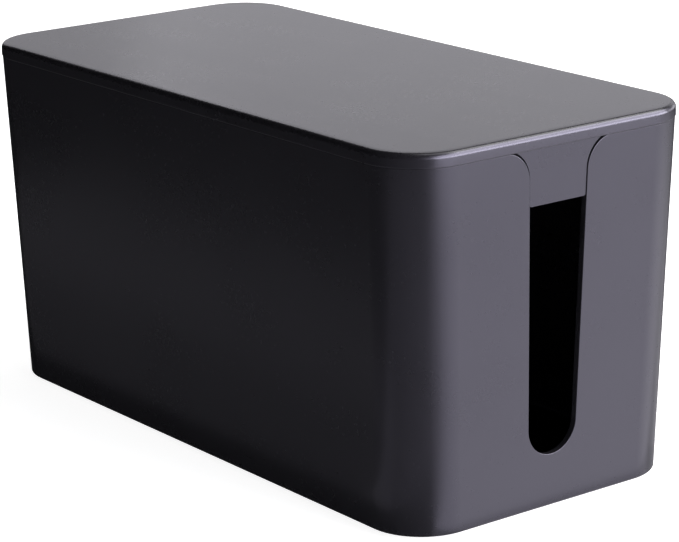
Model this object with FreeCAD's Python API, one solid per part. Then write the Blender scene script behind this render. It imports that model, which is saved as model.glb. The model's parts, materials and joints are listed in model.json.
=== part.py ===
import FreeCAD, Part

import math
import os

# A box that hides a power strip and its cables. A deep tub stands on four rubber feet. A lid lies on
# its rim and lifts straight off. Each end wall of the tub has a tall cable slot that is open at the top,
# so that cables are laid in from above, and the lid carries a tongue at each end that closes the mouth
# of the slot above them.
#
# Millimetres. +X runs along the box, +Y across it, +Z up. The origin is at the middle of the footprint,
# on the surface that the feet stand on.

# Plan of the lid, which is the outline that every other outline follows at a distance
lid_length = 236.0
lid_width = 116.5
lid_corner_radius = 19.0

# Tub
tub_height = 114.8              # from the underside to the seam with the lid
tub_wall = 2.2
tub_floor = 2.6
tub_draft_angle = 1.75          # degrees that each wall leans in towards the floor
tub_base_radius = 0.8           # outer edge round the underside
tub_inside_radius = 3.0         # inner edge round the floor

# Cable slot in each end wall, widening upwards and flaring out at its mouth
slot_lowest = 17.1              # from the underside to the bottom of the round end
slot_end_radius = 9.6
slot_side_angle = 1.35          # degrees that each side leans out towards the mouth
mouth_radius = 9.5
mouth_rise = 0.5                # the flare would turn level this far above the seam

# Lid
lid_rim_height = 4.6            # from the seam to the top face
lid_plate = 2.2
lid_rim = 2.4                   # thickness of the rim at the seam
lid_edge_radius = 1.6           # round the top face
lid_rim_draft_angle = 3.0       # degrees that the rim leans in towards the top
lid_overhang = 0.25             # the rim stands this far proud of the tub

# Lip under the lid that drops inside the tub and centres the lid
lip_depth = 4.0                 # below the seam
lip_thickness = 1.5
lip_lead_in = 0.8               # height of the chamfer that guides it into the tub
lip_clearance = 0.3             # to the tub's wall at the lip's lower edge

# Tongue under each end of the lid
tongue_length = 17.5            # below the seam
tongue_gap = 0.45               # to the sides of the slot and its flare
tongue_recess = 0.45            # behind the outer face of the tub's wall
tongue_corner_radius = 0.6
tongue_root_overlap = 0.6       # its back reaches this far into the lip
tongue_shoulder = 3.0           # its root is this much wider than its flare on each side

# Two gussets stiffen the back of each tongue
gusset_thickness = 1.4
gusset_spacing = 12.0
gusset_reach = 4.5              # along the plate
gusset_foot_gap = 5.0           # from the tongue's lower edge

# Rubber feet, stuck into round pockets in the underside
foot_diameter = 12.0
foot_thickness = 2.8
foot_taper = 0.5                # the face that it stands on is this much smaller all round
foot_chamfer = 0.4
foot_edge_distance = 16.0       # from the underside's outline to the foot's centre
pocket_depth = 0.8
pocket_clearance = 0.15         # all round the foot

cut_overrun = 5.0               # a cutter reaches this far past what it cuts

# Heights
base_z = foot_thickness - pocket_depth
floor_z = base_z + tub_floor
seam_z = base_z + tub_height
lid_top_z = seam_z + lid_rim_height
plate_under_z = lid_top_z - lid_plate
plate_middle_z = lid_top_z - lid_plate / 2      # the lip, the tongues and the gussets are rooted here
lip_bottom_z = seam_z - lip_depth
tongue_bottom_z = seam_z - tongue_length
slot_bottom_z = base_z + slot_lowest
mouth_level_z = seam_z + mouth_rise

half_length = lid_length / 2
half_width = lid_width / 2
tub_corner_radius = lid_corner_radius - lid_overhang    # the same from the seam to the underside


def tangent(degrees):
    return math.tan(math.radians(degrees))


def draft_run(z):
    """How far the tub's wall has leaned in at height z, measured from the seam."""
    return (seam_z - z) * tangent(tub_draft_angle)


def wall_outside(z):
    """Distance of the tub's outer face from the lid's outline at height z; inwards is negative."""
    return -lid_overhang - draft_run(z)


def wall_inside(z):
    """The same for the tub's inner face."""
    return wall_outside(z) - tub_wall


lip_outside = wall_inside(lip_bottom_z) - lip_clearance
lip_inside = lip_outside - lip_thickness


def rounded_wire(corners, place):
    """Closed wire through corners (u, v, radius). place turns u and v into a point in space."""
    starts, middles, ends = [], [], []
    count = len(corners)
    for index, (u, v, radius) in enumerate(corners):
        here = FreeCAD.Vector(u, v, 0)
        before = FreeCAD.Vector(*corners[index - 1][:2], 0) - here
        after = FreeCAD.Vector(*corners[(index + 1) % count][:2], 0) - here
        half_angle = before.getAngle(after) / 2
        before.normalize()
        after.normalize()
        reach = radius / math.tan(half_angle)
        bisector = (before + after).normalize() if radius else before
        starts.append(here + before * reach)
        middles.append(here + bisector * (radius / math.sin(half_angle) - radius))
        ends.append(here + after * reach)
    edges = []
    for index in range(count):
        start, middle, end = (place(p.x, p.y) for p in (starts[index], middles[index], ends[index]))
        following = starts[(index + 1) % count]
        following = place(following.x, following.y)
        if corners[index][2]:
            edges.append(Part.Arc(start, middle, end).toShape())
        if not end.isEqual(following, Part.Precision.confusion()):
            edges.append(Part.LineSegment(end, following).toShape())
    return Part.Wire(edges)


def joined(solids):
    """One solid from several that overlap or touch."""
    return solids[0].multiFuse(solids[1:]).removeSplitter()


class Plan:
    """A rectangle with round corners, seen from above."""

    def __init__(self, half_x, half_y, radius):
        self.half_x = half_x
        self.half_y = half_y
        self.radius = radius
        self.axis_x = half_x - radius
        self.axis_y = half_y - radius

    def sweep(self, profile):
        """Pieces of a ring whose section is a profile of corners (distance from the plan, z, radius)."""
        up = FreeCAD.Vector(0, 0, 1)
        end_section = Part.Face(rounded_wire(
            profile, lambda d, z: FreeCAD.Vector(self.half_x + d, self.axis_y, z)))
        side_section = Part.Face(rounded_wire(
            profile, lambda d, z: FreeCAD.Vector(self.axis_x, self.half_y + d, z)))
        end_run = end_section.extrude(FreeCAD.Vector(0, -2 * self.axis_y, 0))
        side_run = side_section.extrude(FreeCAD.Vector(-2 * self.axis_x, 0, 0))
        corner = end_section.revolve(FreeCAD.Vector(self.axis_x, self.axis_y, 0), up, 90)
        quarter = [end_run, corner, side_run]
        turned = []
        for solid in (end_run, corner, side_run):
            copy = solid.copy()
            copy.rotate(FreeCAD.Vector(), up, 180)
            turned.append(copy)
        mirrored = [corner.mirror(FreeCAD.Vector(), FreeCAD.Vector(1, 0, 0)),
                    corner.mirror(FreeCAD.Vector(), FreeCAD.Vector(0, 1, 0))]
        return quarter + turned + mirrored

    def fill(self, profile):
        """Solid body whose sides follow a profile that reaches in to the corners' axes."""
        heights = [z for distance, z, radius in profile if distance == -self.radius]
        core = Part.makeBox(2 * self.axis_x, 2 * self.axis_y, max(heights) - min(heights),
                            FreeCAD.Vector(-self.axis_x, -self.axis_y, min(heights)))
        return joined([core] + self.sweep(profile))


lid_plan = Plan(half_length, half_width, lid_corner_radius)


def leaning_prism(low, high, low_z, high_z, place, along):
    """Prism whose section is a trapezoid, half as wide as low at its foot and as high at its top."""
    section = rounded_wire([(low, low_z, 0), (high, high_z, 0), (-high, high_z, 0), (-low, low_z, 0)], place)
    return Part.Face(section).extrude(along)


def leaning_body(low_z, high_z, wall, corner_radius, foot_radius):
    """Solid whose flat sides follow a wall's lean, with a rounded lower edge.

    Its four corners keep one radius. A band at the foot, as high as twice the lower edge's radius, is
    swept round the plan, and the corners above it are rounded off by tools that lean as the corner does.
    """
    split_z = low_z + 2 * foot_radius
    foot_plan = Plan(half_length + wall(split_z), half_width + wall(split_z), corner_radius)
    foot = foot_plan.fill([
        (-corner_radius, low_z, 0),
        (wall(low_z) - wall(split_z), low_z, foot_radius),
        (0, split_z, 0),
        (-corner_radius, split_z, 0),
    ])
    widening = wall(high_z) - wall(split_z)
    end_view = leaning_prism(foot_plan.half_y, foot_plan.half_y + widening, split_z, high_z,
                             lambda u, z: FreeCAD.Vector(-half_length, u, z),
                             FreeCAD.Vector(2 * half_length, 0, 0))
    side_view = leaning_prism(foot_plan.half_x, foot_plan.half_x + widening, split_z, high_z,
                              lambda u, z: FreeCAD.Vector(u, -half_width, z),
                              FreeCAD.Vector(0, 2 * half_width, 0))
    axis = FreeCAD.Vector(foot_plan.axis_x, foot_plan.axis_y, split_z)
    reach = corner_radius + cut_overrun
    disc = Part.Face(Part.Wire(Part.makeCircle(corner_radius, axis)))
    spandrel = Part.makePlane(reach, reach, axis).cut(disc).Faces[0]
    tool = spandrel.extrude(FreeCAD.Vector(widening, widening, high_z - split_z))
    tools = [copy.mirror(FreeCAD.Vector(), FreeCAD.Vector(0, 1, 0)) for copy in both_ends(tool)]
    upper = side_view.common(end_view).cut(both_ends(tool) + tools)
    return joined([foot, upper])


def both_ends(solid):
    """A solid at the +X end and its mirror image at the other end."""
    return [solid, solid.mirror(FreeCAD.Vector(), FreeCAD.Vector(1, 0, 0))]


def slot_half_width(z):
    """Half the slot's width between its straight sides at height z."""
    foot_half_width = slot_end_radius / math.tan(math.radians(45 + slot_side_angle / 2))
    return foot_half_width + (z - slot_bottom_z) * tangent(slot_side_angle)


def mouth_corners(gap, top_z, beyond):
    """Right half of the flared mouth, drawn in from the slot's outline by a gap, from the top down.

    Above the flare it reaches up to top_z, and to each side it goes beyond the flare's end.
    """
    level = mouth_level_z + gap
    half = slot_half_width(level) - gap / math.cos(math.radians(slot_side_angle))
    far = half + mouth_radius + gap + beyond
    return [(far, top_z, 0), (far, level, 0), (half, level, mouth_radius + gap)]


def symmetric_outline(right_half):
    """Corners of a whole outline from the corners of its right half, from the top down."""
    left_half = [(-y, z, radius) for y, z, radius in reversed(right_half)]
    return right_half + left_half


def end_prism(right_half, inner_x, outer_x):
    """Prism along X with a symmetric outline across the end wall."""
    outline = rounded_wire(symmetric_outline(right_half), lambda y, z: FreeCAD.Vector(inner_x, y, z))
    return Part.Face(outline).extrude(FreeCAD.Vector(outer_x - inner_x, 0, 0))


def side_prism(corners, width, centre_y):
    """Prism along Y with an outline of corners (distance from the lid's outline, z, radius)."""
    outline = rounded_wire(corners, lambda d, z: FreeCAD.Vector(half_length + d, centre_y - width / 2, z))
    return Part.Face(outline).extrude(FreeCAD.Vector(0, width, 0))


def slot_cutter():
    """What one cable slot and its mouth take out of the end wall."""
    mouth = mouth_corners(0, seam_z + cut_overrun, cut_overrun)
    foot = (slot_half_width(slot_bottom_z), slot_bottom_z, slot_end_radius)
    inner_x = half_length + wall_inside(base_z) - cut_overrun
    return end_prism([*mouth, foot], inner_x, half_length + cut_overrun)


def foot_centres():
    x = half_length + wall_outside(base_z) - foot_edge_distance
    y = half_width + wall_outside(base_z) - foot_edge_distance
    return {"front_left": (-x, -y), "front_right": (x, -y), "rear_left": (-x, y), "rear_right": (x, y)}


def make_tub():
    outside = leaning_body(base_z, seam_z, wall_outside, tub_corner_radius, tub_base_radius)
    inside = leaning_body(floor_z, seam_z + cut_overrun, wall_inside, tub_corner_radius - tub_wall,
                          tub_inside_radius)
    pockets = [
        Part.makeCylinder(foot_diameter / 2 + pocket_clearance, pocket_depth + cut_overrun,
                          FreeCAD.Vector(x, y, base_z - cut_overrun))
        for x, y in foot_centres().values()
    ]
    return outside.cut([inside] + both_ends(slot_cutter()) + pockets).removeSplitter()


def make_lid_shell():
    axis = -lid_corner_radius
    lean = lid_rim_height * tangent(lid_rim_draft_angle)
    outside = lid_plan.fill([
        (axis, seam_z, 0),
        (0, seam_z, 0),
        (-lean, lid_top_z, lid_edge_radius),
        (axis, lid_top_z, 0),
    ])
    inside = lid_plan.fill([
        (axis, seam_z - cut_overrun, 0),
        (-lid_rim, seam_z - cut_overrun, 0),
        (-lid_rim, plate_under_z, 0),
        (axis, plate_under_z, 0),
    ])
    return outside.cut(inside)


def make_lip():
    return joined(lid_plan.sweep([
        (lip_outside, plate_middle_z, 0),
        (lip_outside, lip_bottom_z + lip_lead_in, 0),
        (lip_outside - lip_lead_in / 2, lip_bottom_z, 0),
        (lip_inside, lip_bottom_z, 0),
        (lip_inside, plate_middle_z, 0),
    ]))


def tongue_back(z):
    """Distance of the tongue's back from the lid's outline, parallel to the tub's wall."""
    return lip_outside - tongue_root_overlap - draft_run(z) + draft_run(lip_bottom_z)


def make_tongue():
    """The plate that fills the mouth of one slot, leaning as the end wall does."""
    mouth = mouth_corners(tongue_gap, plate_middle_z, tongue_shoulder)
    lower = (slot_half_width(tongue_bottom_z) - tongue_gap, tongue_bottom_z, tongue_corner_radius)
    outline = end_prism([*mouth, lower], half_length - lid_corner_radius, half_length)
    below = tongue_bottom_z - cut_overrun
    slab = side_prism([
        (wall_outside(below) - tongue_recess, below, 0),
        (wall_outside(plate_middle_z) - tongue_recess, plate_middle_z, 0),
        (tongue_back(plate_middle_z), plate_middle_z, 0),
        (tongue_back(below), below, 0),
    ], lid_width, 0)
    return outline.common(slab)


def make_gussets():
    foot_z = tongue_bottom_z + gusset_foot_gap
    bite = tongue_root_overlap
    corners = [
        (tongue_back(plate_middle_z) + bite, plate_middle_z, 0),
        (tongue_back(plate_middle_z) - gusset_reach, plate_middle_z, 0),
        (tongue_back(foot_z), foot_z, 0),
        (tongue_back(foot_z) + bite, foot_z, 0),
    ]
    return [side_prism(corners, gusset_thickness, side * gusset_spacing / 2) for side in (-1, 1)]


def make_lid():
    end_pieces = [make_tongue()] + make_gussets()
    mirrored = [copy for solid in end_pieces for copy in both_ends(solid)]
    return joined([make_lid_shell(), make_lip()] + mirrored)


def make_foot(x, y):
    """Round rubber foot, widest where it sits in its pocket."""
    radius = foot_diameter / 2
    section = rounded_wire([
        (0, 0, 0),
        (radius - foot_taper - foot_chamfer, 0, 0),
        (radius - foot_taper, foot_chamfer, 0),
        (radius, base_z, 0),
        (radius, foot_thickness, 0),
        (0, foot_thickness, 0),
    ], lambda r, z: FreeCAD.Vector(x + r, y, z))
    return Part.Face(section).revolve(FreeCAD.Vector(x, y, 0), FreeCAD.Vector(0, 0, 1), 360)


def main():
    pieces = {"tub": make_tub(), "lid": make_lid()}
    for place, (x, y) in foot_centres().items():
        pieces["foot_" + place] = make_foot(x, y)
    os.makedirs("parts", exist_ok=True)
    for name, shape in pieces.items():
        shape.exportStep(os.path.join("parts", name + ".step"))
        box = shape.optimalBoundingBox()
        print(name, "valid", shape.isValid(), "solids", len(shape.Solids), "faces", len(shape.Faces),
              "volume", round(shape.Volume), "from", [round(v, 2) for v in (box.XMin, box.YMin, box.ZMin)],
              "to", [round(v, 2) for v in (box.XMax, box.YMax, box.ZMax)])


main()
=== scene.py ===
import json
import math

import bmesh
import bpy
from mathutils import Matrix, Quaternion, Vector

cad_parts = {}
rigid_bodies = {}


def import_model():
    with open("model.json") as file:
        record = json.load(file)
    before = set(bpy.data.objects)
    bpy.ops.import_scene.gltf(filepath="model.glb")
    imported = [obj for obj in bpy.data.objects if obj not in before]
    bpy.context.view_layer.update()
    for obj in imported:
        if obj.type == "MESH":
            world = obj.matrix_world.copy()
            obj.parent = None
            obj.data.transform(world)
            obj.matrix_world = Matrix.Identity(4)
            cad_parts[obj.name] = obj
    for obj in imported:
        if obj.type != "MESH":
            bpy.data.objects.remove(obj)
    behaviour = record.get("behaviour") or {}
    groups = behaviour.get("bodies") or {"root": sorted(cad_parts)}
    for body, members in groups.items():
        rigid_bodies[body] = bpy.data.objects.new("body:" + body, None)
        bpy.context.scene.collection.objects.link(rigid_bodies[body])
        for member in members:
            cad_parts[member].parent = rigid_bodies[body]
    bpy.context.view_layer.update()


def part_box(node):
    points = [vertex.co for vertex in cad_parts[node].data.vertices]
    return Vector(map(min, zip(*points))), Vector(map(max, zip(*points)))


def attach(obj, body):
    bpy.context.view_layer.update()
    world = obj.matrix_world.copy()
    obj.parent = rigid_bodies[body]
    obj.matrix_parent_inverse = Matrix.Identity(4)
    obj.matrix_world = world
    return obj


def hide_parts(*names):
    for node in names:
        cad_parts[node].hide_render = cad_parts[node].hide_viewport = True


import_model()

bl_info = {
    "name": "Cable Management Box",
    "version": (1, 0, 0),
    "blender": (4, 5, 0),
    "location": "3D View > Sidebar > Cable Box",
    "description": "Models a lidded cable box with its moulded plastic finish, and the studio around it",
    "category": "Object",
}

# Metres. +X runs along the box, +Y across it, +Z up, and the feet stand on z = 0.

# What the frame gives: the tub's walls from the underside to the seam, the lid above it, and the feet
tub_low, tub_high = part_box("tub")
lid_low, lid_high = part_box("lid")
foot_low, foot_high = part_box("foot_front_right")
base_z = tub_low.z
seam_z = tub_high.z
lid_top_z = lid_high.z
tongue_bottom_z = lid_low.z
foot_nodes = ("foot_front_left", "foot_front_right", "foot_rear_left", "foot_rear_right")

CORNER_STEPS = 32               # faces round each corner of the plan
MOUTH_STEPS = 20                # faces round the flare and the round end of a slot
EDGE_STEPS = 10                 # faces across the lid's rounded top edge
SHOULDER_STEPS = 4              # faces across the soft slope beside it
RIM_STEPS = 6                   # faces across the rim's rounded lower edge
INSIDE_STEPS = 8                # faces across the tub's inner edge, round its floor
BASE_STEPS = 6                  # faces across the tub's outer edge, round its underside
FOOT_EDGE_STEPS = 5             # faces across the edge of a foot's standing face
BROKEN_EDGE_STEPS = 3           # faces across the small rounding of a sharp edge
FOOT_STEPS = 72                 # faces round a foot and its pocket
SAME_PLACE = 1e-5               # points nearer than this are one point
SAME_POINT = 1e-6               # the same, once the small roundings are on
CUT_OVERRUN = 0.005             # a cutter reaches this far past what it cuts
SHARP_ANGLE = math.radians(28)  # edges that turn by more than this get the small rounding
SMOOTH_ANGLE = math.radians(40)  # edges that turn by less than this are shaded smooth
FLAT_ANGLE = math.radians(0.1)  # faces that meet at less than this are one face


def length(name, description, default):
    """A size that the sidebar shows as a length."""
    return bpy.props.FloatProperty(name=name, description=description, default=default,
                                   min=0.0, precision=5, unit="LENGTH")


def angle(name, description, default_degrees):
    """An angle that the sidebar shows in degrees."""
    return bpy.props.FloatProperty(name=name, description=description,
                                   default=math.radians(default_degrees), subtype="ANGLE")


def amount(name, description, default):
    """A plain number, such as a share or a roughness."""
    return bpy.props.FloatProperty(name=name, description=description, default=default, min=0.0)


def colour(name, description, default):
    """A colour in linear light."""
    return bpy.props.FloatVectorProperty(name=name, description=description, default=default,
                                         size=3, min=0.0, max=1.0, subtype="COLOR")


class CableBoxSizes(bpy.types.PropertyGroup):
    """Sizes of the mouldings that the frame's boxes don't give."""

    corner_radius: length("Corner Radius", "Corners of the lid's outline, seen from above", 0.019)
    wall: length("Wall", "Thickness of the tub's walls", 0.0022)
    floor: length("Floor", "Thickness of the tub's floor", 0.0026)
    draft: angle("Draft", "How far each wall leans in towards the floor", 1.75)
    base_radius: length("Base Radius", "Outer edge round the underside", 0.0008)
    inside_radius: length("Inside Radius", "Inner edge round the floor", 0.003)
    slot_rise: length("Slot Rise", "From the underside to the bottom of a cable slot", 0.0171)
    slot_radius: length("Slot Radius", "Round end of a cable slot", 0.0096)
    slot_angle: angle("Slot Angle", "How far each side of a slot leans out towards its mouth", 1.35)
    mouth_radius: length("Mouth Radius", "Flare at the slot's mouth", 0.0098)
    mouth_rise: length("Mouth Rise", "The flare would turn level this far above the seam", 0.0003)
    plate: length("Plate", "Thickness of the lid's top", 0.0022)
    rim: length("Rim", "Thickness of the lid's rim at the seam", 0.0024)
    rim_draft: angle("Rim Draft", "How far the rim leans in towards the top", 0.5)
    lid_edge: length("Lid Edge", "Rounding round the lid's top face", 0.0018)
    shoulder_width: length("Shoulder Width", "Soft slope on the top, just inside that rounding", 0.0018)
    shoulder_drop: length("Shoulder Drop", "How far that slope falls", 0.00006)
    rim_edge: length("Rim Edge", "Rounding round the rim's lower edge", 0.0005)
    lip_depth: length("Lip Depth", "How far the lip drops below the seam", 0.004)
    lip_thickness: length("Lip Thickness", "Lip that centres the lid in the tub", 0.0015)
    lip_clearance: length("Lip Clearance", "From the lip to the tub's wall", 0.0003)
    lip_lead_in: length("Lip Lead-in", "Chamfer that guides the lip into the tub", 0.0008)
    tongue_gap: length("Tongue Gap", "From the tongue to the straight sides of its slot", 0.0002)
    mouth_gap: length("Mouth Gap", "From the tongue's flare to the slot's mouth", 0.0009)
    tongue_recess: length("Tongue Recess", "How far the tongue lies behind the tub's face", 0.0003)
    tongue_corner: length("Tongue Corner", "Lower corners of the tongue", 0.0006)
    tongue_overlap: length("Tongue Overlap", "How far the tongue's back reaches into the lip", 0.0006)
    tongue_shoulder: length("Tongue Shoulder", "Its root is this much wider than its flare", 0.003)
    gusset_thickness: length("Gusset Thickness", "Ribs behind the tongue", 0.0014)
    gusset_spacing: length("Gusset Spacing", "Between the two ribs behind a tongue", 0.012)
    gusset_reach: length("Gusset Reach", "How far a rib reaches along the plate", 0.0045)
    gusset_foot: length("Gusset Foot", "From a rib's foot to the tongue's lower edge", 0.005)
    broken_edge: length("Broken Edge", "Small rounding that moulding leaves on every edge", 0.0002)
    seam_edge: length("Seam Edge", "Crisper rounding of the tub's outer edge, under the lid", 0.00008)
    pocket_depth: length("Pocket Depth", "Recess in the underside for a foot", 0.0008)
    pocket_clearance: length("Pocket Clearance", "Round a foot in its pocket", 0.00015)
    foot_taper: length("Foot Taper", "How much smaller the foot's standing face is, all round", 0.0005)
    foot_edge: length("Foot Edge", "Rounding round the foot's standing face", 0.0004)


class CableBoxColours(bpy.types.PropertyGroup):
    """Colours and gloss of the plastic, the rubber and the floor."""

    plastic: colour("Plastic", "Charcoal plastic of the tub and the lid", (0.0079, 0.0076, 0.0093))
    sheen: colour("Sheen", "Tint of the plastic's gloss, seen face on", (0.832, 0.800, 1.000))
    rubber: colour("Rubber", "Black rubber of the feet", (0.016, 0.016, 0.017))
    floor: colour("Floor", "Pale floor of the studio", (0.62, 0.62, 0.62))
    floor_glow: amount("Floor Glow", "Light that the floor gives off, as a light table does", 0.92)
    plastic_roughness: amount("Plastic Roughness", "Satin gloss of the mouldings", 0.28)
    edge_roughness: amount("Edge Roughness", "Handled edges are a little more polished", 0.24)
    rubber_roughness: amount("Rubber Roughness", "Dull gloss of the feet", 0.72)


class CableBoxStudio(bpy.types.PropertyGroup):
    """Camera and lights."""

    aim: bpy.props.FloatVectorProperty(name="Aim", description="What the camera looks at", size=3,
                                       default=(0.00514, 0.00304, 0.05276), subtype="TRANSLATION")
    distance: length("Distance", "From the camera to what it looks at", 0.93120)
    azimuth: angle("Azimuth", "Camera round the box, from its long side towards its end", 52.67)
    elevation: angle("Elevation", "Camera above the horizon", 16.05)
    roll: angle("Roll", "Small tilt of the photograph's horizon", 0.94)
    lens: amount("Lens", "Focal length in millimetres", 147.95)
    end_light: amount("End Light", "Brightness of the softboxes before the slotted end", 1.0)
    rear_light: amount("Rear Light", "Brightness of the softboxes behind the box", 1.0)
    top_light: amount("Top Light", "Brightness of the softboxes high above the box", 1.0)
    floor_light: amount("Floor Light", "Brightness of the glowing cards on the floor", 1.0)
    light_colour: colour("Light Colour", "A slightly cool white", (0.965, 0.950, 1.000))
    top_light_colour: colour("Top Light Colour", "A slightly warm white",
                             (0.985, 1.000, 0.890))


# Softboxes that face the box: the setting that dims them, name, azimuth and elevation in degrees,
# distance, width, height, and the brightness of their face, where 1 looks white
SOFTBOXES = (
    ("end_light", "end_softbox_low", 120, 8, 1.2, 1.8, 0.34, 13.0),
    ("end_light", "end_softbox_middle", 120, 23, 1.2, 1.8, 0.34, 7.6),
    ("end_light", "end_softbox_high", 130, 40, 1.2, 1.6, 0.40, 8.0),
    ("end_light", "end_softbox_back", 180, 8, 1.2, 0.7, 0.34, 2.2),
    ("end_light", "end_softbox_left", 74, 14, 1.2, 0.35, 0.50, 1.6),
    ("rear_light", "rear_softbox_right", 205, 16, 1.3, 0.5, 0.45, 0.88),
    ("rear_light", "rear_softbox_middle", 228, 16, 1.3, 0.5, 0.45, 1.08),
    ("rear_light", "rear_softbox_left", 250, 16, 1.3, 0.5, 0.45, 0.84),
    ("rear_light", "rear_softbox_rise", 218, 35, 1.3, 0.4, 0.30, 0.6),
    ("top_light", "rear_softbox_high", 165, 52, 1.2, 0.8, 0.45, 4.0),
    ("top_light", "overhead_softbox", 165, 74, 1.2, 0.6, 0.50, 2.0),
)
# Cards that lie on the floor and glow upwards, fanned out from the tub's near corner: name, the azimuth
# they run along in degrees, from and to along it, from and to on its left, brightness. Where cards
# overlap, their light adds up, so each lies a little above the one before
FLOOR_CARDS = (
    ("end_card_right", 74, -0.028, 0.48, 0.0, 0.60, 0.52),
    ("end_card_middle", 90, 0.003, 0.48, 0.0, 0.60, 0.52),
    ("end_card_left", 106, 0.003, 0.48, 0.0, 0.60, 0.52),
    ("end_card_near", 90, 0.003, 0.20, 0.0, 0.45, 0.28),
    ("end_card_far", 84, 0.48, 1.10, 0.0, 0.90, 4.2),
    ("rear_card", 180, 0.11, 0.40, 0.0, 0.25, 0.15),
    ("side_card_near", -90, 0.016, 0.44, 0.020, 0.070, 0.075),
    ("side_card_far", -90, 0.016, 0.44, 0.070, 0.155, 0.14),
    ("corner_card", 0, 0.02, 0.36, -0.04, 0.20, 0.19),
)
CARD_CORNER = (0.1165, -0.0464)  # in plan, just outside the tub's near corner
CARD_STEP = 0.0005               # from one card up to the next
SOFTBOX_AIM = (0.0, 0.0, 0.06)
FLOOR_SIZE = 12.0
ROOM_SHADE = (0.004, 0.004, 0.004)
BACKDROP_SHADE = (0.90, 0.90, 0.90)


def tangent(sizes):
    """How far a drafted wall leans in for each metre of height."""
    return math.tan(sizes.draft)


def draft_run(sizes, z):
    """How far the tub's wall has leaned in at height z, measured from the seam."""
    return (seam_z - z) * tangent(sizes)


def wall_outside(sizes, z):
    """Distance of the tub's outer face from the lid's outline at height z; inwards is negative."""
    return tub_high.x - lid_high.x - draft_run(sizes, z)


def lip_outside(sizes):
    """Distance of the lip's outer face from the lid's outline."""
    return wall_outside(sizes, seam_z - sizes.lip_depth) - sizes.wall - sizes.lip_clearance


def tongue_back(sizes, z):
    """Distance of the tongue's back from the lid's outline, parallel to the tub's wall."""
    return lip_outside(sizes) - sizes.tongue_overlap - draft_run(sizes, z) + sizes.lip_depth * tangent(sizes)


def slot_half_width(sizes, z):
    """Half the slot's width between its straight sides at height z."""
    foot = corner_reach(sizes, sizes.slot_radius)
    return foot + (z - base_z - sizes.slot_rise) * math.tan(sizes.slot_angle)


def corner_reach(sizes, radius):
    """How far a rounding of a slot's corner reaches along the edges that meet there."""
    return radius / math.tan(math.radians(45) + sizes.slot_angle / 2)


def near(a, b):
    return abs(a - b) < SAME_PLACE


def on_outline(point, half_x, half_y, radius, slack):
    """Whether a point lies no further than slack inside a rounded outline seen from above."""
    over_x = max(abs(point.x) - (half_x - radius), 0.0)
    over_y = max(abs(point.y) - (half_y - radius), 0.0)
    return math.hypot(over_x, over_y) > radius - slack


def make_active(obj):
    """Selects one object and nothing else."""
    bpy.ops.object.select_all(action="DESELECT")
    obj.select_set(True)
    bpy.context.view_layer.objects.active = obj


def edit(obj):
    make_active(obj)
    bpy.ops.object.mode_set(mode="EDIT")


def stop_editing():
    bpy.ops.object.mode_set(mode="OBJECT")
    return bpy.context.view_layer.objects.active


def pick(kind, test):
    """In edit mode, selects the vertices, edges or faces that pass a test, and nothing else."""
    bpy.ops.mesh.select_mode(type=kind)
    bpy.ops.mesh.select_all(action="DESELECT")
    shape = bmesh.from_edit_mesh(bpy.context.object.data)
    items = {"VERT": shape.verts, "EDGE": shape.edges, "FACE": shape.faces}[kind]
    for item in items:
        if test(item):
            item.select_set(True)
    shape.select_flush_mode()
    bmesh.update_edit_mesh(bpy.context.object.data)


def pick_level_edges(z):
    """Selects the edges that lie level at height z."""
    pick("EDGE", lambda edge: all(near(v.co.z, z) for v in edge.verts))


def move_copy(offset):
    """Extrudes what is selected and moves it by an offset."""
    bpy.ops.mesh.extrude_region_move(TRANSFORM_OT_translate={"value": offset})


def round_edges(radius, steps):
    bpy.ops.mesh.bevel(offset=radius, segments=steps, affect="EDGES", clamp_overlap=False)


def weld(within=SAME_PLACE):
    bpy.ops.mesh.select_all(action="SELECT")
    bpy.ops.mesh.remove_doubles(threshold=within)


def face_outwards():
    bpy.ops.mesh.select_all(action="SELECT")
    bpy.ops.mesh.normals_make_consistent(inside=False)


def apply_place(obj):
    """Puts an object's place into its mesh."""
    make_active(obj)
    bpy.ops.object.transform_apply(location=True, rotation=True, scale=True)


def apply_modifier(obj, kind, **settings):
    make_active(obj)
    bpy.ops.object.modifier_add(type=kind)
    modifier = obj.modifiers[-1]
    for name, value in settings.items():
        setattr(modifier, name, value)
    bpy.ops.object.modifier_apply(modifier=modifier.name)


def combine(obj, tool, operation):
    """Cuts a tool out of an object, or adds it, and removes the tool."""
    apply_modifier(obj, "BOOLEAN", object=tool, operation=operation, solver="EXACT")
    bpy.data.objects.remove(tool)


def join(first, *others):
    """Joins objects into the first one and welds what meets."""
    make_active(first)
    for other in others:
        other.select_set(True)
    bpy.ops.object.join()
    edit(first)
    weld()
    return stop_editing()


def rounded_plan(name, half_x, half_y, z, radius):
    """A flat face with four round corners that faces up. It is left in edit mode, selected."""
    bpy.ops.object.select_all(action="DESELECT")
    bpy.ops.mesh.primitive_plane_add(size=2.0, location=(0.0, 0.0, z))
    plan = bpy.context.object
    plan.name = name
    apply_place(plan)
    edit(plan)
    bpy.ops.mesh.select_all(action="SELECT")
    bpy.ops.transform.resize(value=(half_x, half_y, 1.0), center_override=(0.0, 0.0, z))
    bpy.ops.mesh.bevel(offset=radius, segments=CORNER_STEPS, affect="VERTICES")
    pick("FACE", lambda face: True)
    return plan


def lean_in(z, run):
    """Moves each quarter of the plan at height z inwards, so that its corners keep their radius."""
    for side_x in (-1, 1):
        for side_y in (-1, 1):
            pick("VERT", lambda v: near(v.co.z, z) and v.co.x * side_x > 0 and v.co.y * side_y > 0)
            bpy.ops.transform.translate(value=(-side_x * run, -side_y * run, 0.0))


def inset(thickness, depth):
    bpy.ops.mesh.inset(thickness=thickness, depth=depth, use_even_offset=True)


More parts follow.
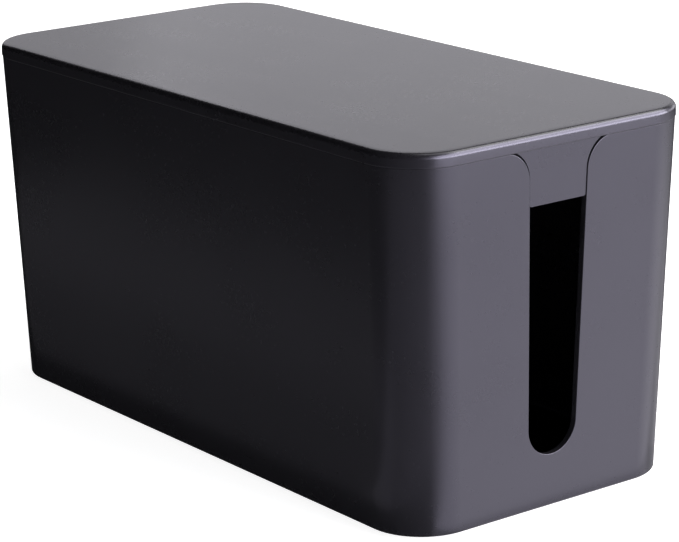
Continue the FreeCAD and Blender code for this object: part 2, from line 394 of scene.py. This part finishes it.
def block(name, low, high):
    """A box between two corners."""
    bpy.ops.object.select_all(action="DESELECT")
    centre = [(a + b) / 2 for a, b in zip(low, high)]
    bpy.ops.mesh.primitive_cube_add(size=1.0, location=centre)
    box = bpy.context.object
    box.name = name
    box.scale = [b - a for a, b in zip(low, high)]
    apply_place(box)
    return box


def mouth_prism(sizes, name, span_x, foot_z, foot_radius, side_gap, mouth_gap, top_z, beyond):
    """Prism along X with the outline of a cable slot: straight sides, a rounded foot and a flared mouth.

    Its outline is drawn in by a gap at the sides and another at the mouth. Above the flare it reaches up
    to top_z, and to each side it goes beyond the flare's end. The same outline cuts the slots and shapes
    the tongues that fill them.
    """
    low_x, high_x = span_x
    narrower = side_gap / math.cos(sizes.slot_angle)
    level = seam_z + sizes.mouth_rise + mouth_gap
    flare = sizes.mouth_radius + (side_gap + mouth_gap) / 2
    foot_half = slot_half_width(sizes, foot_z) - narrower
    level_half = slot_half_width(sizes, level) - narrower
    middle = (foot_z + level) / 2
    bpy.ops.object.select_all(action="DESELECT")
    bpy.ops.mesh.primitive_plane_add(size=2.0, location=(low_x, 0.0, middle),
                                     rotation=(math.pi / 2, 0.0, math.pi / 2))
    prism = bpy.context.object
    prism.name = name
    apply_place(prism)
    edit(prism)
    bpy.ops.mesh.select_all(action="SELECT")
    bpy.ops.transform.resize(value=(1.0, foot_half, (level - foot_z) / 2),
                             center_override=(low_x, 0.0, middle))
    pick_level_edges(level)
    bpy.ops.transform.resize(value=(1.0, level_half / foot_half, 1.0), center_override=(low_x, 0.0, level))
    move_copy((0.0, 0.0, top_z - level))
    reach = flare + beyond
    for side in (-1, 1):
        pick("EDGE", lambda edge: all(v.co.z > level - SAME_PLACE and near(v.co.y, side * level_half)
                                      for v in edge.verts))
        move_copy((0.0, side * reach, 0.0))
    bpy.ops.mesh.select_all(action="SELECT")
    bpy.ops.mesh.dissolve_limited(angle_limit=FLAT_ANGLE)
    pick("VERT", lambda v: near(v.co.z, level) and near(abs(v.co.y), level_half))
    bpy.ops.mesh.bevel(offset=corner_reach(sizes, flare), segments=MOUTH_STEPS, affect="VERTICES")
    pick("VERT", lambda v: near(v.co.z, foot_z))
    foot_reach = min(corner_reach(sizes, foot_radius), foot_half - SAME_PLACE / 4)
    bpy.ops.mesh.bevel(offset=foot_reach, segments=MOUTH_STEPS, affect="VERTICES")
    weld()
    pick("FACE", lambda face: True)
    move_copy((high_x - low_x, 0.0, 0.0))
    face_outwards()
    return stop_editing()


def finish_surface(obj, sizes, is_crisp=None):
    """Rounds every sharp edge a little and shades the curves smooth, with the flats kept flat.

    Edges that pass the test is_crisp get the smaller rounding.
    """
    edit(obj)
    shape = bmesh.from_edit_mesh(obj.data)
    weight = shape.edges.layers.float.new("bevel_weight_edge")
    for sharp in shape.edges:
        if sharp.is_manifold and sharp.calc_face_angle() > SHARP_ANGLE:
            crisp = is_crisp is not None and is_crisp(sharp)
            sharp[weight] = sizes.seam_edge / sizes.broken_edge if crisp else 1.0
    bmesh.update_edit_mesh(obj.data)
    stop_editing()
    apply_modifier(obj, "BEVEL", width=sizes.broken_edge, segments=BROKEN_EDGE_STEPS,
                   limit_method="WEIGHT", use_clamp_overlap=True, miter_outer="MITER_ARC",
                   harden_normals=False)
    obj.data.attributes.remove(obj.data.attributes["bevel_weight_edge"])
    edit(obj)
    weld(SAME_POINT)
    stop_editing()
    bpy.ops.object.shade_smooth_by_angle(angle=SMOOTH_ANGLE)
    apply_modifier(obj, "WEIGHTED_NORMAL", mode="FACE_AREA", weight=100, keep_sharp=True)


def model_tub(sizes):
    """Tub with drafted walls, cable slots in both ends and pockets for the feet."""
    radius = sizes.corner_radius + wall_outside(sizes, seam_z)
    floor_z = base_z + sizes.floor
    tub = rounded_plan("cable_tub", tub_high.x, tub_high.y, seam_z, radius)
    inset(sizes.wall, 0.0)
    move_copy((0.0, 0.0, floor_z - seam_z))
    lean_in(floor_z, draft_run(sizes, floor_z))
    pick_level_edges(floor_z)
    round_edges(sizes.inside_radius, INSIDE_STEPS)
    pick("EDGE", lambda edge: edge.is_boundary)
    move_copy((0.0, 0.0, base_z - seam_z))
    lean_in(base_z, draft_run(sizes, base_z))
    pick_level_edges(base_z)
    bpy.ops.mesh.edge_face_add()
    round_edges(sizes.base_radius, BASE_STEPS)
    face_outwards()
    stop_editing()
    cut_end = lid_high.x + CUT_OVERRUN
    cutter = mouth_prism(sizes, "slot_cutter", (-cut_end, cut_end), base_z + sizes.slot_rise,
                         sizes.slot_radius, 0.0, 0.0, seam_z + CUT_OVERRUN, CUT_OVERRUN)
    combine(tub, cutter, "DIFFERENCE")
    for node in foot_nodes:
        low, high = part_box(node)
        pocket_radius = (high.x - low.x) / 2 + sizes.pocket_clearance
        centre = ((low.x + high.x) / 2, (low.y + high.y) / 2, base_z)
        bpy.ops.object.select_all(action="DESELECT")
        bpy.ops.mesh.primitive_cylinder_add(vertices=FOOT_STEPS, radius=pocket_radius,
                                            depth=2 * sizes.pocket_depth, location=centre)
        pocket = bpy.context.object
        apply_place(pocket)
        combine(tub, pocket, "DIFFERENCE")

    def under_rim(edge):
        """Whether an edge runs along the tub's outline at the seam."""
        return all(near(v.co.z, seam_z) and on_outline(v.co, tub_high.x, tub_high.y, radius, sizes.wall / 4)
                   for v in edge.verts)

    finish_surface(tub, sizes, under_rim)
    return tub


def model_lid_shell(sizes):
    """Lid with its rounded top edge, its rim and the lip that drops inside the tub."""
    edge_z = lid_top_z - sizes.shoulder_drop
    plate_under_z = lid_top_z - sizes.plate
    lid = rounded_plan("cable_lid", lid_high.x, lid_high.y, seam_z, sizes.corner_radius)
    inset((edge_z - seam_z) * math.tan(sizes.rim_draft), edge_z - seam_z)
    pick_level_edges(edge_z)
    round_edges(sizes.lid_edge, EDGE_STEPS)
    pick("FACE", lambda face: all(near(v.co.z, edge_z) for v in face.verts))
    for step in range(SHOULDER_STEPS):
        share = (2 * (SHOULDER_STEPS - step) - 1) / SHOULDER_STEPS ** 2
        inset(sizes.shoulder_width / SHOULDER_STEPS, sizes.shoulder_drop * share)
    stop_editing()
    under = rounded_plan("lid_underside", lid_high.x, lid_high.y, seam_z, sizes.corner_radius)
    bpy.ops.mesh.flip_normals()
    inset(sizes.rim, 0.0)
    move_copy((0.0, 0.0, plate_under_z - seam_z))
    inset(-lip_outside(sizes) - sizes.rim, 0.0)
    inset(sizes.lip_thickness, 0.0)
    bpy.ops.mesh.select_more()
    shape = bmesh.from_edit_mesh(under.data)
    largest = max((face for face in shape.faces if face.select), key=lambda face: face.calc_area())
    largest.select_set(False)
    bmesh.update_edit_mesh(under.data)
    lip_bottom_z = seam_z - sizes.lip_depth
    move_copy((0.0, 0.0, lip_bottom_z - plate_under_z))
    lip_x = lid_high.x + lip_outside(sizes)
    lip_y = lid_high.y + lip_outside(sizes)
    lip_radius = sizes.corner_radius + lip_outside(sizes)
    pick("EDGE", lambda edge: all(
        near(v.co.z, lip_bottom_z) and on_outline(v.co, lip_x, lip_y, lip_radius, sizes.lip_thickness / 4)
        for v in edge.verts))
    bpy.ops.mesh.bevel(offset=sizes.lip_lead_in / 2, segments=1, affect="EDGES")
    stop_editing()
    lid = join(lid, under)
    edit(lid)
    pick("EDGE", lambda edge: all(
        near(v.co.z, seam_z) and on_outline(v.co, lid_high.x, lid_high.y, sizes.corner_radius, sizes.rim / 4)
        for v in edge.verts))
    round_edges(sizes.rim_edge, RIM_STEPS)
    return stop_editing()


def model_tongue(sizes):
    """Tongue that fills the mouth of the slot at the +X end, leaning as the end wall does."""
    front = tub_high.x - sizes.tongue_recess
    back = lid_high.x + tongue_back(sizes, seam_z)
    tongue = mouth_prism(sizes, "tongue", (back, front), tongue_bottom_z, sizes.tongue_corner,
                         sizes.tongue_gap, sizes.mouth_gap, lid_top_z - sizes.plate / 2,
                         sizes.tongue_shoulder)
    edit(tongue)
    bpy.ops.mesh.select_all(action="SELECT")
    bpy.ops.transform.rotate(value=-sizes.draft, orient_axis="Y", center_override=(front, 0.0, seam_z))
    return stop_editing()


def model_gusset(sizes, side):
    """One of the two ribs that stiffen the back of the tongue at the +X end."""
    root_z = lid_top_z - sizes.plate / 2
    foot_z = tongue_bottom_z + sizes.gusset_foot
    back_root = lid_high.x + tongue_back(sizes, root_z)
    back_foot = lid_high.x + tongue_back(sizes, foot_z)
    bite = sizes.tongue_overlap
    centre_y = side * sizes.gusset_spacing / 2
    gusset = block("gusset", (back_foot, centre_y - sizes.gusset_thickness / 2, foot_z),
                   (back_foot + bite, centre_y + sizes.gusset_thickness / 2, root_z))
    edit(gusset)
    pick("VERT", lambda v: near(v.co.z, root_z))
    bpy.ops.transform.translate(value=(back_root - back_foot, 0.0, 0.0))
    pick("VERT", lambda v: near(v.co.z, root_z) and v.co.x < back_root + bite / 2)
    bpy.ops.transform.translate(value=(-sizes.gusset_reach, 0.0, 0.0))
    return stop_editing()


def both_ends(pieces):
    """Adds each piece's mirror image at the other end."""
    for piece in pieces:
        apply_modifier(piece, "MIRROR", use_axis=(True, False, False), use_mirror_merge=False)
        edit(piece)
        face_outwards()
        stop_editing()
    return pieces


def model_lid(sizes):
    """Lid with a tongue and two gussets at each end."""
    lid = model_lid_shell(sizes)
    end_pieces = [model_tongue(sizes), model_gusset(sizes, -1), model_gusset(sizes, 1)]
    for piece in both_ends(end_pieces):
        combine(lid, piece, "UNION")
    finish_surface(lid, sizes)
    return lid


def model_foot(sizes):
    """Round rubber foot at the front right, widest where it sits in its pocket."""
    radius = (foot_high.x - foot_low.x) / 2
    centre = Vector(((foot_low.x + foot_high.x) / 2, (foot_low.y + foot_high.y) / 2, foot_low.z))
    bpy.ops.object.select_all(action="DESELECT")
    bpy.ops.mesh.primitive_cylinder_add(vertices=FOOT_STEPS, radius=radius, depth=base_z - foot_low.z,
                                        location=centre + Vector((0.0, 0.0, (base_z - foot_low.z) / 2)))
    foot = bpy.context.object
    foot.name = "rubber_foot_front_right"
    apply_place(foot)
    edit(foot)
    pick("FACE", lambda face: all(near(v.co.z, base_z) for v in face.verts))
    move_copy((0.0, 0.0, foot_high.z - base_z))
    pick("FACE", lambda face: all(near(v.co.z, foot_low.z) for v in face.verts))
    smaller = 1 - sizes.foot_taper / radius
    bpy.ops.transform.resize(value=(smaller, smaller, 1.0), center_override=centre)
    pick_level_edges(foot_low.z)
    round_edges(sizes.foot_edge, FOOT_EDGE_STEPS)
    stop_editing()
    bpy.ops.object.shade_smooth_by_angle(angle=SMOOTH_ANGLE)
    return foot


class Sum:
    """A socket that takes part in Python sums: each operator adds a Math node."""

    def __init__(self, finish, socket):
        self.finish = finish
        self.socket = socket

    def math(self, operation, *others):
        inputs = {0: self}
        inputs.update({index + 1: other for index, other in enumerate(others)})
        return self.finish.node("ShaderNodeMath", {"operation": operation}, inputs).out("Value")

    def __add__(self, other):
        return self.math("ADD", other)

    def __sub__(self, other):
        return self.math("SUBTRACT", other)

    def __rsub__(self, other):
        return (self * -1.0).math("ADD", other)

    def __mul__(self, other):
        return self.math("MULTIPLY", other)

    __radd__ = __add__
    __rmul__ = __mul__

    def over(self, low, high):
        """0 below low, 1 above high and smooth between."""
        return self.finish.node("ShaderNodeMapRange", {"interpolation_type": "SMOOTHSTEP"}, {
            "Value": self, "From Min": low, "From Max": high}).out("Result")


class Step:
    """A node, with its outputs given as sums."""

    def __init__(self, finish, made):
        self.finish = finish
        self.made = made

    def out(self, name):
        return Sum(self.finish, self.made.outputs[name])


class Shading:
    """The nodes of a material or of the world, built up one by one."""

    def __init__(self, owner):
        owner.use_nodes = True
        self.owner = owner
        self.tree = owner.node_tree
        self.tree.nodes.clear()

    def node(self, kind, settings=None, inputs=None):
        made = self.tree.nodes.new(kind)
        for name, value in (settings or {}).items():
            setattr(made, name, value)
        for name, value in (inputs or {}).items():
            if isinstance(value, Sum):
                self.tree.links.new(value.socket, made.inputs[name])
            else:
                made.inputs[name].default_value = value
        return Step(self, made)

    def blend(self, factor, first, second):
        """Mixes two colours."""
        first, second = (value if isinstance(value, Sum) else (*value, 1.0) for value in (first, second))
        return self.node("ShaderNodeMix", {"data_type": "RGBA"}, {0: factor, 6: first, 7: second}).out(2)


class Finish(Shading):
    """A procedural material whose pattern follows the object."""

    def __init__(self, name):
        super().__init__(bpy.data.materials.new(name))
        self.place = self.node("ShaderNodeTexCoord").out("Object")

    def axes(self):
        """The place as three numbers."""
        parts = self.node("ShaderNodeSeparateXYZ", None, {"Vector": self.place})
        return parts.out("X"), parts.out("Y"), parts.out("Z")

    def noise(self, size, detail=2.0, stretch=(1.0, 1.0, 1.0), roughness=0.5):
        """Cloudy noise from 0 to 1 whose lumps are about as large as size, in metres."""
        scaled = self.node("ShaderNodeMapping", None, {"Vector": self.place, "Scale": stretch}).out("Vector")
        return self.node("ShaderNodeTexNoise", None, {
            "Vector": scaled, "Scale": 1.0 / size, "Detail": detail, "Roughness": roughness}).out("Fac")

    def bump(self, height, strength, distance):
        return self.node("ShaderNodeBump", None, {
            "Height": height, "Strength": strength, "Distance": distance}).out("Normal")

    def surface(self, **sockets):
        """Ends the material with one surface shader. A name's underscores stand for spaces."""
        inputs = {name.replace("_", " "): value for name, value in sockets.items()}
        shader = self.node("ShaderNodeBsdfPrincipled", None, inputs).out("BSDF")
        self.node("ShaderNodeOutputMaterial", None, {"Surface": shader})
        return self.owner


def plan_distance(finish, half_x, half_y, radius):
    """Distance inside a rounded outline seen from above, 0 at the outline, in metres."""
    x, y, z = finish.axes()
    over_x = (x.math("ABSOLUTE") - (half_x - radius)).math("MAXIMUM", 0.0)
    over_y = (y.math("ABSOLUTE") - (half_y - radius)).math("MAXIMUM", 0.0)
    return radius - (over_x * over_x + over_y * over_y).math("SQRT")


def moulded_plastic(name, colours, edge_mask):
    """Satin charcoal plastic with a fine moulded grain, slow unevenness and slightly polished edges."""
    finish = Finish(name)
    grain = finish.noise(0.00035, detail=1.0)
    fine = finish.noise(0.0012, detail=2.0)
    cloud = finish.noise(0.035, detail=3.0)
    wiped = finish.noise(0.012, detail=3.0, stretch=(0.25, 1.0, 1.0))
    edge = edge_mask(finish) * finish.noise(0.012, detail=2.0).over(0.3, 0.8)
    dull = tuple(0.95 * part for part in colours.plastic)
    bright = tuple(1.05 * part for part in colours.plastic)
    worn = tuple(1.7 * part for part in colours.plastic)
    base = finish.blend(cloud.over(0.3, 0.7), dull, bright)
    base = finish.blend(grain.over(0.55, 0.85) * 0.15, base, worn)
    base = finish.blend(edge * 0.25, base, worn)
    satin = colours.plastic_roughness + (cloud - 0.5) * 0.02 + (wiped - 0.5) * 0.015 + (fine - 0.5) * 0.03
    rough = satin - edge * (colours.plastic_roughness - colours.edge_roughness)
    relief = grain * 0.7 + fine * 0.3
    return finish.surface(Base_Color=base, Roughness=rough, Normal=finish.bump(relief, 0.20, 0.00006),
                          IOR=1.52, Specular_IOR_Level=0.56, Specular_Tint=(*colours.sheen, 1.0))


def lid_edge_mask(sizes):
    """Where hands rub the lid: its rounded top edge."""
    def mask(finish):
        inside = plan_distance(finish, lid_high.x, lid_high.y, sizes.corner_radius)
        z = finish.axes()[2]
        at_edge = 1.0 - inside.over(0.4 * sizes.lid_edge, 1.3 * sizes.lid_edge)
        return at_edge * z.over(lid_top_z - 1.2 * sizes.lid_edge, lid_top_z - 0.4 * sizes.lid_edge)
    return mask


def tub_edge_mask(sizes):
    """Where the tub rubs: the edge round its underside."""
    def mask(finish):
        z = finish.axes()[2]
        return 1.0 - z.over(base_z + sizes.base_radius, base_z + 3 * sizes.base_radius)
    return mask


def foot_rubber(name, colours):
    """Dull black rubber with a fine pitted grain."""
    finish = Finish(name)
    pits = finish.noise(0.0005, detail=2.0)
    cloud = finish.noise(0.004, detail=2.0)
    dusty = tuple(2.2 * part for part in colours.rubber)
    base = finish.blend(cloud.over(0.45, 0.75) * 0.4, tuple(colours.rubber), dusty)
    rough = colours.rubber_roughness + (pits - 0.5) * 0.12
    return finish.surface(Base_Color=base, Roughness=rough, Normal=finish.bump(pits, 0.4, 0.0001))


def studio_floor(name, colours):
    """Pale matt floor with the faintest unevenness."""
    finish = Finish(name)
    cloud = finish.noise(0.6, detail=2.0)
    shade = tuple(0.985 * part for part in colours.floor)
    base = finish.blend(cloud, shade, tuple(colours.floor))
    return finish.surface(Base_Color=base, Roughness=0.9, Specular_IOR_Level=0.1,
                          Emission_Color=(1.0, 1.0, 1.0, 1.0), Emission_Strength=colours.floor_glow)


def give_material(obj, material):
    obj.data.materials.clear()
    obj.data.materials.append(material)


class CABLEBOX_OT_tub(bpy.types.Operator):
    """Model the tub and give it its plastic"""

    bl_idname = "cable_box.tub"
    bl_label = "Tub"

    def execute(self, context):
        sizes = context.scene.cable_box_sizes
        tub = model_tub(sizes)
        give_material(tub, moulded_plastic("tub_plastic", context.scene.cable_box_colours,
                                           tub_edge_mask(sizes)))
        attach(tub, "box")
        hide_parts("tub")
        return {"FINISHED"}


class CABLEBOX_OT_lid(bpy.types.Operator):
    """Model the lid and give it its plastic"""

    bl_idname = "cable_box.lid"
    bl_label = "Lid"

    def execute(self, context):
        sizes = context.scene.cable_box_sizes
        lid = model_lid(sizes)
        give_material(lid, moulded_plastic("lid_plastic", context.scene.cable_box_colours,
                                           lid_edge_mask(sizes)))
        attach(lid, "cover")
        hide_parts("lid")
        return {"FINISHED"}


class CABLEBOX_OT_feet(bpy.types.Operator):
    """Model one rubber foot and copy it to the other three places"""

    bl_idname = "cable_box.feet"
    bl_label = "Feet"

    def execute(self, context):
        first = model_foot(context.scene.cable_box_sizes)
        give_material(first, foot_rubber("foot_rubber", context.scene.cable_box_colours))
        for node in foot_nodes:
            foot = first
            if node != "foot_front_right":
                make_active(first)
                bpy.ops.object.duplicate(linked=False)
                foot = bpy.context.object
                foot.name = "rubber_" + node
                foot.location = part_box(node)[0] - foot_low
                apply_place(foot)
            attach(foot, "box")
            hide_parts(node)
        return {"FINISHED"}


def seen_from(azimuth, elevation):
    """Direction towards a place at this azimuth and elevation, both in radians."""
    level = math.cos(elevation)
    return Vector((math.sin(azimuth) * level, -math.cos(azimuth) * level, math.sin(elevation)))


def add_soft_light(name, place, turn, width, height, brightness, tint):
    """A large soft light that no camera sees. Its face looks white when its brightness is 1."""
    bpy.ops.object.select_all(action="DESELECT")
    bpy.ops.object.light_add(type="AREA", location=place)
    light = bpy.context.object
    light.name = name
    light.rotation_euler = turn
    light.visible_camera = False
    light.data.shape = "RECTANGLE"
    light.data.size = width
    light.data.size_y = height
    light.data.energy = math.pi * width * height * brightness
    light.data.color = tint


def set_backdrop(context):
    """A dark room, with a pale backdrop where the camera looks past the floor."""
    context.scene.world = bpy.data.worlds.new("studio")
    room = Shading(context.scene.world)
    camera_looks = room.node("ShaderNodeLightPath").out("Is Camera Ray")
    shade = room.blend(camera_looks, ROOM_SHADE, BACKDROP_SHADE)
    glow = room.node("ShaderNodeBackground", None, {"Color": shade}).out("Background")
    room.node("ShaderNodeOutputWorld", None, {"Surface": glow})


class CABLEBOX_OT_studio(bpy.types.Operator):
    """Add the pale floor, the soft lights and the camera"""

    bl_idname = "cable_box.studio"
    bl_label = "Studio"

    def execute(self, context):
        studio = context.scene.cable_box_studio
        aim = Vector(studio.aim)
        bpy.ops.object.select_all(action="DESELECT")
        bpy.ops.mesh.primitive_plane_add(size=FLOOR_SIZE, location=(0.0, 0.0, foot_low.z))
        floor = bpy.context.object
        floor.name = "studio_floor"
        give_material(floor, studio_floor("studio_floor", context.scene.cable_box_colours))
        floor.visible_glossy = False
        for setting, name, azimuth, elevation, distance, width, height, brightness in SOFTBOXES:
            towards = seen_from(math.radians(azimuth), math.radians(elevation))
            tint = studio.top_light_colour if setting == "top_light" else studio.light_colour
            add_soft_light(name, Vector(SOFTBOX_AIM) + towards * distance,
                           (-towards).to_track_quat("-Z", "Y").to_euler(), width, height,
                           brightness * getattr(studio, setting), tint)
        for layer, card in enumerate(FLOOR_CARDS, 1):
            name, azimuth, start, end, right, left, brightness = card
            turn = math.radians(azimuth - 90)
            middle = Vector(((start + end) / 2, (right + left) / 2)) @ Matrix.Rotation(-turn, 2)
            place = Vector((*CARD_CORNER, foot_low.z + layer * CARD_STEP)) + middle.to_3d()
            add_soft_light(name, place, (math.pi, 0.0, turn), end - start, left - right,
                           brightness * studio.floor_light, studio.light_colour)
        set_backdrop(context)
        context.scene.view_settings.view_transform = "Standard"
        bpy.ops.object.select_all(action="DESELECT")
        bpy.ops.object.camera_add(location=(0.0, 0.0, 0.0))
        camera = bpy.context.object
        camera.name = "photo_camera"
        back = seen_from(studio.azimuth, studio.elevation)
        camera.location = aim + back * studio.distance
        facing = (-back).to_track_quat("-Z", "Y") @ Quaternion((0.0, 0.0, 1.0), -studio.roll)
        camera.rotation_euler = facing.to_euler()
        camera.data.lens = studio.lens
        camera.data.sensor_width = 36.0
        camera.data.clip_start = 0.01
        camera.data.clip_end = 100.0
        context.scene.camera = camera
        return {"FINISHED"}


class CABLEBOX_PT_panel(bpy.types.Panel):
    """Sidebar list of the pieces, and of the sizes, colours and lights that shape them"""

    bl_idname = "CABLEBOX_PT_panel"
    bl_label = "Cable Box"
    bl_space_type = "VIEW_3D"
    bl_region_type = "UI"
    bl_category = "Cable Box"

    def draw(self, context):
        for maker in OPERATORS:
            self.layout.operator(maker.bl_idname)
        for group in (context.scene.cable_box_sizes, context.scene.cable_box_colours,
                      context.scene.cable_box_studio):
            column = self.layout.box().column()
            for name in group.bl_rna.properties.keys():
                if name not in ("rna_type", "name"):
                    column.prop(group, name)


OPERATORS = (CABLEBOX_OT_tub, CABLEBOX_OT_lid, CABLEBOX_OT_feet, CABLEBOX_OT_studio)
GROUPS = {
    "cable_box_sizes": CableBoxSizes,
    "cable_box_colours": CableBoxColours,
    "cable_box_studio": CableBoxStudio,
}


def register():
    for made in (*GROUPS.values(), *OPERATORS, CABLEBOX_PT_panel):
        bpy.utils.register_class(made)
    for name, group in GROUPS.items():
        setattr(bpy.types.Scene, name, bpy.props.PointerProperty(type=group))


def unregister():
    for name in GROUPS:
        delattr(bpy.types.Scene, name)
    for made in (CABLEBOX_PT_panel, *reversed(OPERATORS), *reversed(tuple(GROUPS.values()))):
        bpy.utils.unregister_class(made)


def main():
    register()
    bpy.ops.cable_box.tub()
    bpy.ops.cable_box.lid()
    bpy.ops.cable_box.feet()
    bpy.ops.cable_box.studio()


if __name__ == "__main__":
    main()
